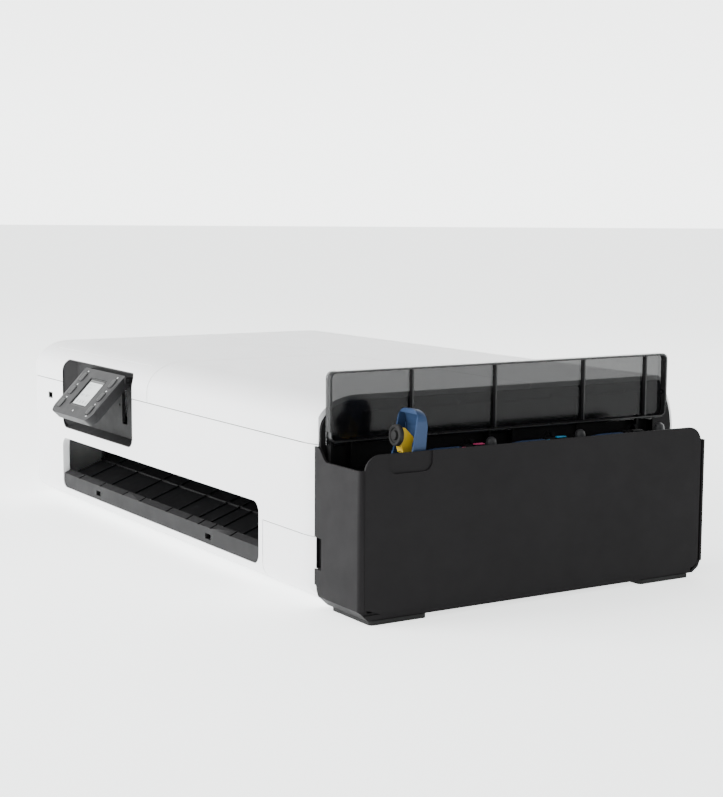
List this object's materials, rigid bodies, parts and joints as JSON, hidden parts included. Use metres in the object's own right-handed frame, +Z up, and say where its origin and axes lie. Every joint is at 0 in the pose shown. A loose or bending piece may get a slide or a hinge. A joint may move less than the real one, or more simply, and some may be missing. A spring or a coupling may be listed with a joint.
{
  "type": "inkjet printer",
  "caption": "Wide desktop inkjet printer with rounded white casing, front paper exit, tilting control panel and a dark refillable ink tank bay.",
  "frame": {"origin": "centre of the printer's bounding box, on the surface it stands on", "axes": "+Z up, +X to the printer's right as seen from the front, front faces -Y"},
  "size_m": [0.968, 0.5784, 0.2666],
  "materials": {
    "white_shell": "fine texture",
    "bezel_plastic": "fine texture",
    "panel_plastic": "satin",
    "key_plastic": "satin",
    "black_plastic": "fine texture",
    "ink_block_plastic": "fine texture",
    "smoke_clear": "clear grey",
    "lever_blue": "satin",
    "tank_clear": "translucent",
    "display": "display",
    "steel": "zinc plated",
    "roller_rubber": "ground",
    "foot_rubber": "matt",
    "belt_rubber": "toothed",
    "board": "solder mask",
    "plug_yellow": "satin",
    "plug_magenta": "satin",
    "plug_cyan": "satin",
    "plug_black": "satin"
  },
  "bodies": {
    "chassis": {"front_panel": "white_shell", "left_end_cover": "white_shell", "upper_left_shell": "white_shell", "rear_panel": "white_shell", "control_bezel": "bezel_plastic", "output_lip": "bezel_plastic", "base_tray": "black_plastic", "usb_port": "black_plastic", "exit_guides": "black_plastic", "platen": "black_plastic", "maintenance_station": "black_plastic", "maintenance_cartridge": "black_plastic", "power_inlet": "black_plastic", "tank_deck": "black_plastic", "ink_inner_wall": "ink_block_plastic", "ink_housing": "ink_block_plastic", "ink_side_panel": "ink_block_plastic", "side_frames": "steel", "guide_rail": "steel", "drive_motors": "steel", "power_supply": "steel", "casing_screws": "steel", "rubber_feet": "foot_rubber", "feed_belt": "belt_rubber", "carriage_belt": "belt_rubber", "main_board": "board", "ink_tank_yellow": "tank_clear", "ink_tank_magenta": "tank_clear", "ink_tank_cyan": "tank_clear", "ink_tank_black": "tank_clear"},
    "access_cover": {"access_cover": "white_shell"},
    "roll_cover": {"roll_cover": "white_shell"},
    "maintenance_door": {"maintenance_door": "white_shell"},
    "control_panel": {"panel_housing": "panel_plastic", "panel_back": "panel_plastic", "lcd_screen": "display"},
    "ink_cover": {"ink_cover": "smoke_clear"},
    "carriage": {"carriage": "black_plastic", "print_head": "black_plastic"},
    "drive_pulley": {"drive_pulley": "steel"},
    "idler_pulley": {"idler_pulley": "steel"},
    "feed_roller": {"feed_roller": "roller_rubber"},
    "eject_roller": {"eject_roller": "roller_rubber"},
    "pinch_rollers": {"pinch_rollers": "roller_rubber"},
    "star_wheels": {"star_wheels": "steel"},
    "roll_spool": {"roll_spool": "black_plastic"},
    "button_home": {"button_home": "key_plastic"},
    "button_up": {"button_up": "key_plastic"},
    "button_down": {"button_down": "key_plastic"},
    "button_stop": {"button_stop": "key_plastic"},
    "button_ok": {"button_ok": "key_plastic"},
    "button_menu": {"button_menu": "key_plastic"},
    "lever_yellow": {"ink_lever_yellow": "lever_blue", "ink_plug_yellow": "plug_yellow"},
    "lever_magenta": {"ink_lever_magenta": "lever_blue", "ink_plug_magenta": "plug_magenta"},
    "lever_cyan": {"ink_lever_cyan": "lever_blue", "ink_plug_cyan": "plug_cyan"},
    "lever_black": {"ink_lever_black": "lever_blue", "ink_plug_black": "plug_black"}
  },
  "joints": [
    {"name": "access_cover_hinge", "type": "hinge", "parent": "chassis", "child": "access_cover", "pos_m": [0.1645, 0.05864, 0.2355], "axis": [-1, 0, 0], "range_deg": [0, 65]},
    {"name": "roll_cover_hinge", "type": "hinge", "parent": "chassis", "child": "roll_cover", "pos_m": [-0.043, 0.25684, 0.2355], "axis": [-1, 0, 0], "range_deg": [0, 95]},
    {"name": "maintenance_door_hinge", "type": "hinge", "parent": "chassis", "child": "maintenance_door", "pos_m": [0.27, -0.23396, 0.042], "axis": [0, 0, -1], "range_deg": [0, 100]},
    {"name": "control_panel_tilt", "type": "hinge", "parent": "chassis", "child": "control_panel", "pos_m": [-0.2115, -0.23076, 0.207], "axis": [1, 0, 0], "range_deg": [-25, 44]},
    {"name": "home_button_press", "type": "slide", "parent": "control_panel", "child": "button_home", "axis": [0, 0.7193, -0.6947], "range_m": [0, 0.001], "stiffness_N_per_m": 300},
    {"name": "up_button_press", "type": "slide", "parent": "control_panel", "child": "button_up", "axis": [0, 0.7193, -0.6947], "range_m": [0, 0.001], "stiffness_N_per_m": 300},
    {"name": "down_button_press", "type": "slide", "parent": "control_panel", "child": "button_down", "axis": [0, 0.7193, -0.6947], "range_m": [0, 0.001], "stiffness_N_per_m": 300},
    {"name": "stop_button_press", "type": "slide", "parent": "control_panel", "child": "button_stop", "axis": [0, 0.7193, -0.6947], "range_m": [0, 0.001], "stiffness_N_per_m": 300},
    {"name": "ok_button_press", "type": "slide", "parent": "control_panel", "child": "button_ok", "axis": [0, 0.7193, -0.6947], "range_m": [0, 0.001], "stiffness_N_per_m": 300},
    {"name": "menu_button_press", "type": "slide", "parent": "control_panel", "child": "button_menu", "axis": [0, 0.7193, -0.6947], "range_m": [0, 0.001], "stiffness_N_per_m": 300},
    {"name": "ink_cover_hinge", "type": "hinge", "parent": "chassis", "child": "ink_cover", "pos_m": [0.4, 0.00924, 0.186], "axis": [0, 1, 0], "range_deg": [0, 90]},
    {"name": "lever_yellow_hinge", "type": "hinge", "parent": "chassis", "child": "lever_yellow", "pos_m": [0.458, -0.16526, 0.168], "axis": [1, 0, 0], "range_deg": [0, 95]},
    {"name": "lever_magenta_hinge", "type": "hinge", "parent": "chassis", "child": "lever_magenta", "pos_m": [0.458, -0.06526, 0.168], "axis": [1, 0, 0], "range_deg": [-95, 0]},
    {"name": "lever_cyan_hinge", "type": "hinge", "parent": "chassis", "child": "lever_cyan", "pos_m": [0.458, 0.05374, 0.168], "axis": [1, 0, 0], "range_deg": [-95, 0]},
    {"name": "lever_black_hinge", "type": "hinge", "parent": "chassis", "child": "lever_black", "pos_m": [0.458, 0.17174, 0.168], "axis": [1, 0, 0], "range_deg": [-95, 0]},
    {"name": "carriage_slide", "type": "slide", "parent": "chassis", "child": "carriage", "axis": [1, 0, 0], "range_m": [-0.64, 0]},
    {"name": "drive_pulley_spin", "type": "hinge", "parent": "chassis", "child": "drive_pulley", "pos_m": [-0.438, -0.01376, 0.1537], "axis": [0, 0, 1], "continuous": true},
    {"name": "idler_pulley_spin", "type": "hinge", "parent": "chassis", "child": "idler_pulley", "pos_m": [0.356, -0.01376, 0.1537], "axis": [0, 0, 1], "continuous": true},
    {"name": "feed_roller_spin", "type": "hinge", "parent": "chassis", "child": "feed_roller", "pos_m": [-0.055, -0.03076, 0.09], "axis": [1, 0, 0], "continuous": true},
    {"name": "eject_roller_spin", "type": "hinge", "parent": "chassis", "child": "eject_roller", "pos_m": [-0.055, -0.11376, 0.09], "axis": [1, 0, 0], "continuous": true},
    {"name": "pinch_rollers_spin", "type": "hinge", "parent": "chassis", "child": "pinch_rollers", "pos_m": [-0.055, -0.03076, 0.1066], "axis": [1, 0, 0], "continuous": true},
    {"name": "star_wheels_spin", "type": "hinge", "parent": "chassis", "child": "star_wheels", "pos_m": [-0.055, -0.11376, 0.105], "axis": [1, 0, 0], "continuous": true},
    {"name": "roll_spool_spin", "type": "hinge", "parent": "chassis", "child": "roll_spool", "pos_m": [-0.055, 0.14924, 0.12], "axis": [1, 0, 0], "continuous": true}
  ],
  "couplings": [
    {"joint": "lever_yellow_hinge", "follows": "ink_cover_hinge", "ratio": 1.0556},
    {"joint": "drive_pulley_spin", "follows": "carriage_slide", "rad_per_m": 113.64},
    {"joint": "idler_pulley_spin", "follows": "carriage_slide", "rad_per_m": 113.64},
    {"joint": "eject_roller_spin", "follows": "feed_roller_spin", "ratio": 1.1765},
    {"joint": "pinch_rollers_spin", "follows": "feed_roller_spin", "ratio": -1.6667},
    {"joint": "star_wheels_spin", "follows": "feed_roller_spin", "ratio": -1.6667}
  ]
}
